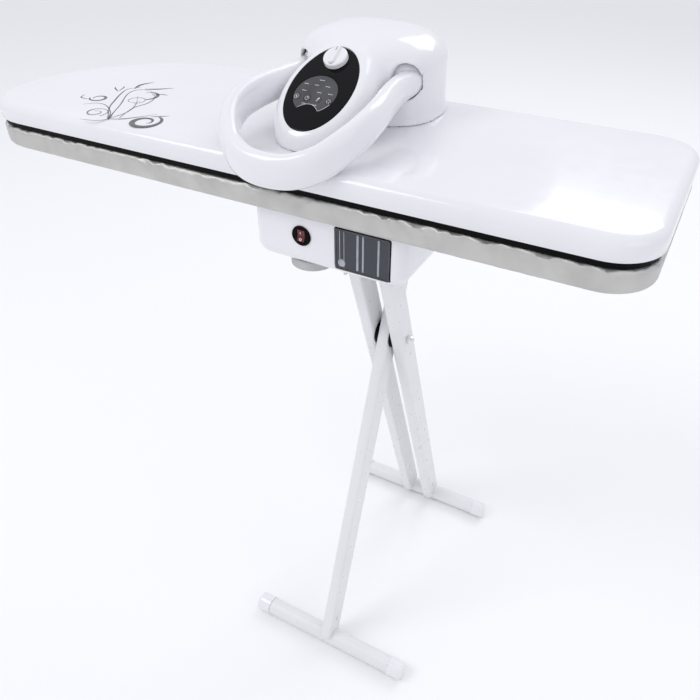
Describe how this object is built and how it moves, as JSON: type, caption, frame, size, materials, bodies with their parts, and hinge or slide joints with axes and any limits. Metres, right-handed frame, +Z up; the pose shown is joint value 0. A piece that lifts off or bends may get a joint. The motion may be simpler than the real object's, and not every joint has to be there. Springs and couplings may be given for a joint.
{
  "type": "steam ironing press",
  "caption": "Flat steam press for ironing: a heated head hinged over a padded board, with a pull-out water tank, a loop handle and a folding cross-leg stand.",
  "frame": {"origin": "on the floor, under the middle of the whole part's outline", "axes": "+X along the board towards its square end, -Y towards the user, +Y towards the hinge, +Z up"},
  "size_m": [0.81, 0.371, 0.835],
  "materials": {
    "white_gloss": "gloss",
    "silver_cloth": "metallised, semi-matt",
    "felt": "matt felt",
    "white_paint": "satin",
    "black_gloss": "high gloss",
    "smoke_grey": "gloss, smoked",
    "smoke_clear": "clear smoked",
    "black_plastic": "matt",
    "red_plastic": "gloss, lit from inside",
    "circuit_green": "matt",
    "cast_aluminium": "cast, brushed sole",
    "steel": "satin",
    "bright_chrome": "bright",
    "brass": "satin",
    "grey_rubber": "matt",
    "black_rubber": "matt"
  },
  "bodies": {
    "base": {"ironing_cover": "silver_cloth", "foam_pad": "felt", "board_tray": "white_gloss", "base_housing": "white_gloss", "cord_gland": "black_rubber", "foot_front": "grey_rubber", "foot_rear_left": "grey_rubber", "foot_rear_right": "grey_rubber", "tank_sleeve": "white_gloss", "water_pump": "steel", "suction_hose": "grey_rubber", "delivery_hose": "grey_rubber", "hose_swivel": "brass", "switch_bezel": "black_plastic", "hinge_bracket_left": "steel", "hinge_bracket_right": "steel", "hinge_rod": "steel", "lift_spring_left": "steel", "lift_spring_right": "steel", "stand_bracket": "white_paint"},
    "rocker": {"switch_rocker": "red_plastic"},
    "tank": {"water_tank": "smoke_clear", "tank_fill_cap": "black_rubber"},
    "press_head": {"head_cover": "white_gloss", "tower_cover": "white_gloss", "control_fascia": "black_gloss", "display_window": "smoke_grey", "control_board": "circuit_green", "insulating_frame": "black_plastic", "heated_plate": "cast_aluminium", "heating_element": "steel", "hinge_arm_left": "steel", "hinge_arm_right": "steel", "head_hose": "grey_rubber"},
    "knob": {"thermostat_knob": "white_gloss"},
    "button_a": {"button_1": "smoke_grey"},
    "button_b": {"button_2": "smoke_grey"},
    "button_c": {"button_3": "smoke_grey"},
    "button_d": {"button_4": "smoke_grey"},
    "handle": {"handle_loop": "white_gloss", "handle_shaft": "steel", "lock_cam": "steel"},
    "stand_outer": {"outer_rail_left": "white_paint", "outer_rail_right": "white_paint", "rail_pivot_bolt_left": "steel", "rail_pivot_bolt_right": "steel", "rail_screw": "bright_chrome", "rear_foot_bar": "white_paint", "rear_end_cap_left": "white_gloss", "rear_end_cap_right": "white_gloss", "cross_bolt": "bright_chrome", "cross_nut": "bright_chrome"},
    "stand_inner": {"inner_leg": "white_paint", "slider_pin": "steel", "leg_screw": "bright_chrome", "front_foot_bar": "white_paint", "front_end_cap_left": "white_gloss", "front_end_cap_right": "white_gloss", "pivot_spacer_left": "black_plastic", "pivot_spacer_right": "black_plastic"}
  },
  "joints": [
    {"name": "head_hinge", "type": "hinge", "parent": "base", "child": "press_head", "pos_m": [0.041, 0.152, 0.716], "axis": [-1, 0, 0], "range_deg": [0, 58]},
    {"name": "handle_pivot", "type": "hinge", "parent": "press_head", "child": "handle", "pos_m": [0.041, 0.05, 0.787], "axis": [-1, 0, 0], "range_deg": [0, 12]},
    {"name": "knob_turn", "type": "hinge", "parent": "press_head", "child": "knob", "pos_m": [0.041, -0.01728, 0.81329], "axis": [0, -0.527, 0.8499], "range_deg": [-45, 225]},
    {"name": "button_1_press", "type": "slide", "parent": "press_head", "child": "button_a", "axis": [0, 0.527, -0.8499], "range_m": [0, 0.0008], "stiffness_N_per_m": 400, "springref_m": -0.0008},
    {"name": "button_2_press", "type": "slide", "parent": "press_head", "child": "button_b", "axis": [0, 0.527, -0.8499], "range_m": [0, 0.0008], "stiffness_N_per_m": 400, "springref_m": -0.0008},
    {"name": "button_3_press", "type": "slide", "parent": "press_head", "child": "button_c", "axis": [0, 0.527, -0.8499], "range_m": [0, 0.0008], "stiffness_N_per_m": 400, "springref_m": -0.0008},
    {"name": "button_4_press", "type": "slide", "parent": "press_head", "child": "button_d", "axis": [0, 0.527, -0.8499], "range_m": [0, 0.0008], "stiffness_N_per_m": 400, "springref_m": -0.0008},
    {"name": "rocker_tilt", "type": "hinge", "parent": "base", "child": "rocker", "pos_m": [0.057, -0.122, 0.6625], "axis": [1, 0, 0], "range_deg": [0, 14]},
    {"name": "tank_slide", "type": "slide", "parent": "base", "child": "tank", "axis": [0, -1, 0], "range_m": [0, 0.145]},
    {"name": "stand_fold", "type": "hinge", "parent": "base", "child": "stand_outer", "pos_m": [0.105, -0.04649, 0.6], "axis": [-1, 0, 0], "range_deg": [0, 18.2]},
    {"name": "stand_cross", "type": "hinge", "parent": "stand_outer", "child": "stand_inner", "pos_m": [0.105, 0, 0.475], "axis": [1, 0, 0], "range_deg": [0, 36.5]}
  ],
  "couplings": [
    {"joint": "stand_cross", "follows": "stand_fold", "ratio": 2}
  ]
}
